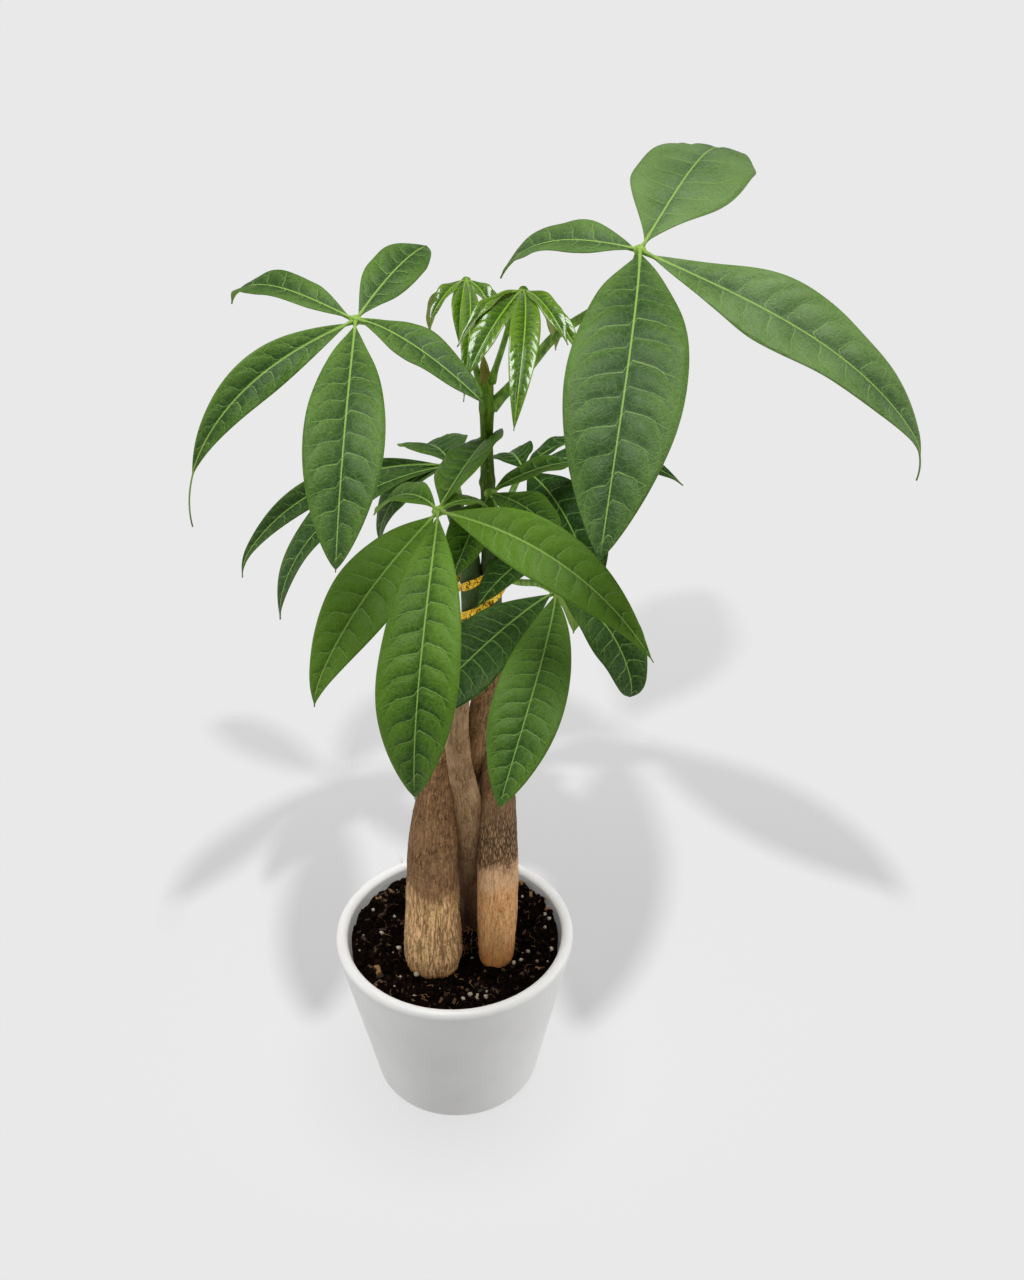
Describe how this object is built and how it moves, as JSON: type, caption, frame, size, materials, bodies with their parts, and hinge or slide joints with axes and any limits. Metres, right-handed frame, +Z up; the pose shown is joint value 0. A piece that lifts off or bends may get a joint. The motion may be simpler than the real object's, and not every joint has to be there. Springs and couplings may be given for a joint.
{
  "type": "potted money tree",
  "caption": "Potted money tree with a braided woody trunk, whorls of drooping leaflets on green stalks, soil and a plain tapered pot that stands on its flat base.",
  "frame": {"origin": "centre of the pot's flat base", "axes": "+Z up, +X to the right as the picture shows it, -Y towards the viewer"},
  "size_m": [0.2868, 0.2457, 0.5248],
  "materials": {
    "pot": "satin",
    "soil": "matte",
    "bark": "matte",
    "green_stem": "satin",
    "tie": "polished",
    "leaf": "satin",
    "young_leaf": "gloss"
  },
  "bodies": {
    "root": {"pot": "pot", "soil": "soil", "trunk_left": "bark", "trunk_middle": "bark", "trunk_right": "bark", "trunk_back": "bark", "leader_shoot": "green_stem", "twist_tie": "tie", "leaf_upper_left": "leaf", "leaf_upper_right": "leaf", "leaf_front": "leaf", "leaf_lower_right": "leaf", "leaf_back_right": "leaf", "leaf_centre": "leaf", "leaf_back_left": "leaf", "leaf_low_centre": "leaf", "leaf_young_front": "young_leaf", "leaf_young_back": "young_leaf"}
  },
  "joints": []
}
